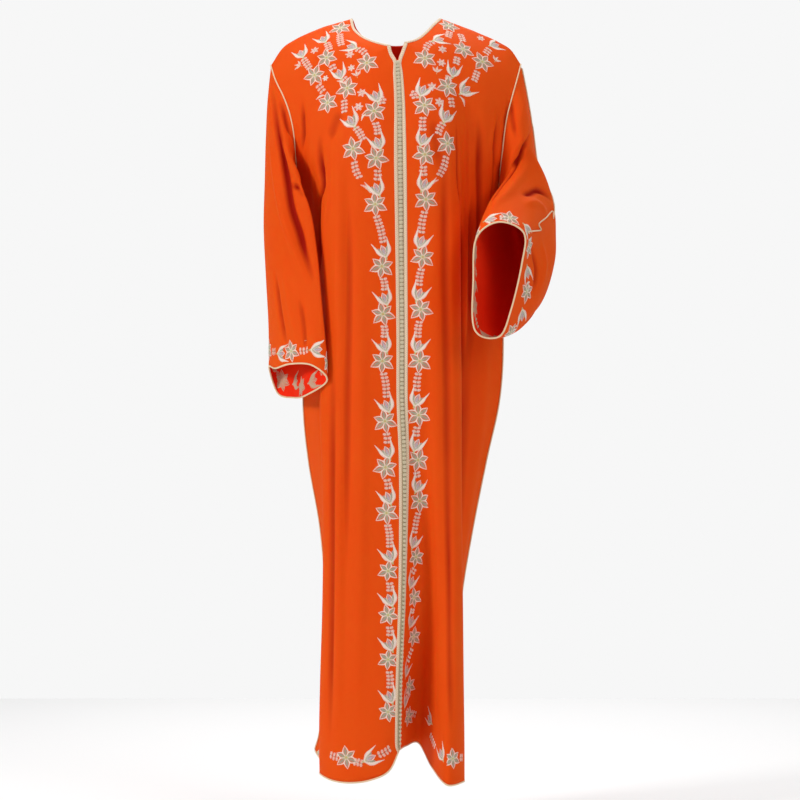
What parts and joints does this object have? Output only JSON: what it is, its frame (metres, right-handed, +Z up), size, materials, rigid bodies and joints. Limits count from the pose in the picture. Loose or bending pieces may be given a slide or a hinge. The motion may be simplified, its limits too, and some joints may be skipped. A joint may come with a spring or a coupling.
{
  "type": "kaftan",
  "caption": "Full-length long-sleeved kaftan, closed down the front with knotted buttons, with braid, piping and embroidered vines, in its worn form with an arm raised",
  "frame": {"origin": "midway between the wearer's shoulders, at the height where the shoulder seams meet the neck edge", "axes": "+Z up, -Y the front with the buttons, +X the wearer's left, where the sleeve is raised"},
  "size_m": [0.5649, 0.3561, 1.4696],
  "materials": {
    "cloth": "matte",
    "braid": "satin",
    "buttons": "satin",
    "piping": "satin"
  },
  "bodies": {
    "root": {"front_right": "cloth", "front_left": "cloth", "back": "cloth", "sleeve_right": "cloth", "sleeve_left": "cloth", "placket_braid_right": "braid", "placket_braid_left": "braid", "neck_braid": "braid", "button_band": "buttons", "armhole_piping_right": "piping", "armhole_piping_left": "piping", "side_piping_right": "piping", "side_piping_left": "piping", "sleeve_piping_right": "piping", "sleeve_piping_left": "piping", "cuff_piping_right": "piping", "cuff_piping_left": "piping", "hem_piping_front_right": "piping", "hem_piping_front_left": "piping", "hem_piping_back": "piping"}
  },
  "joints": []
}
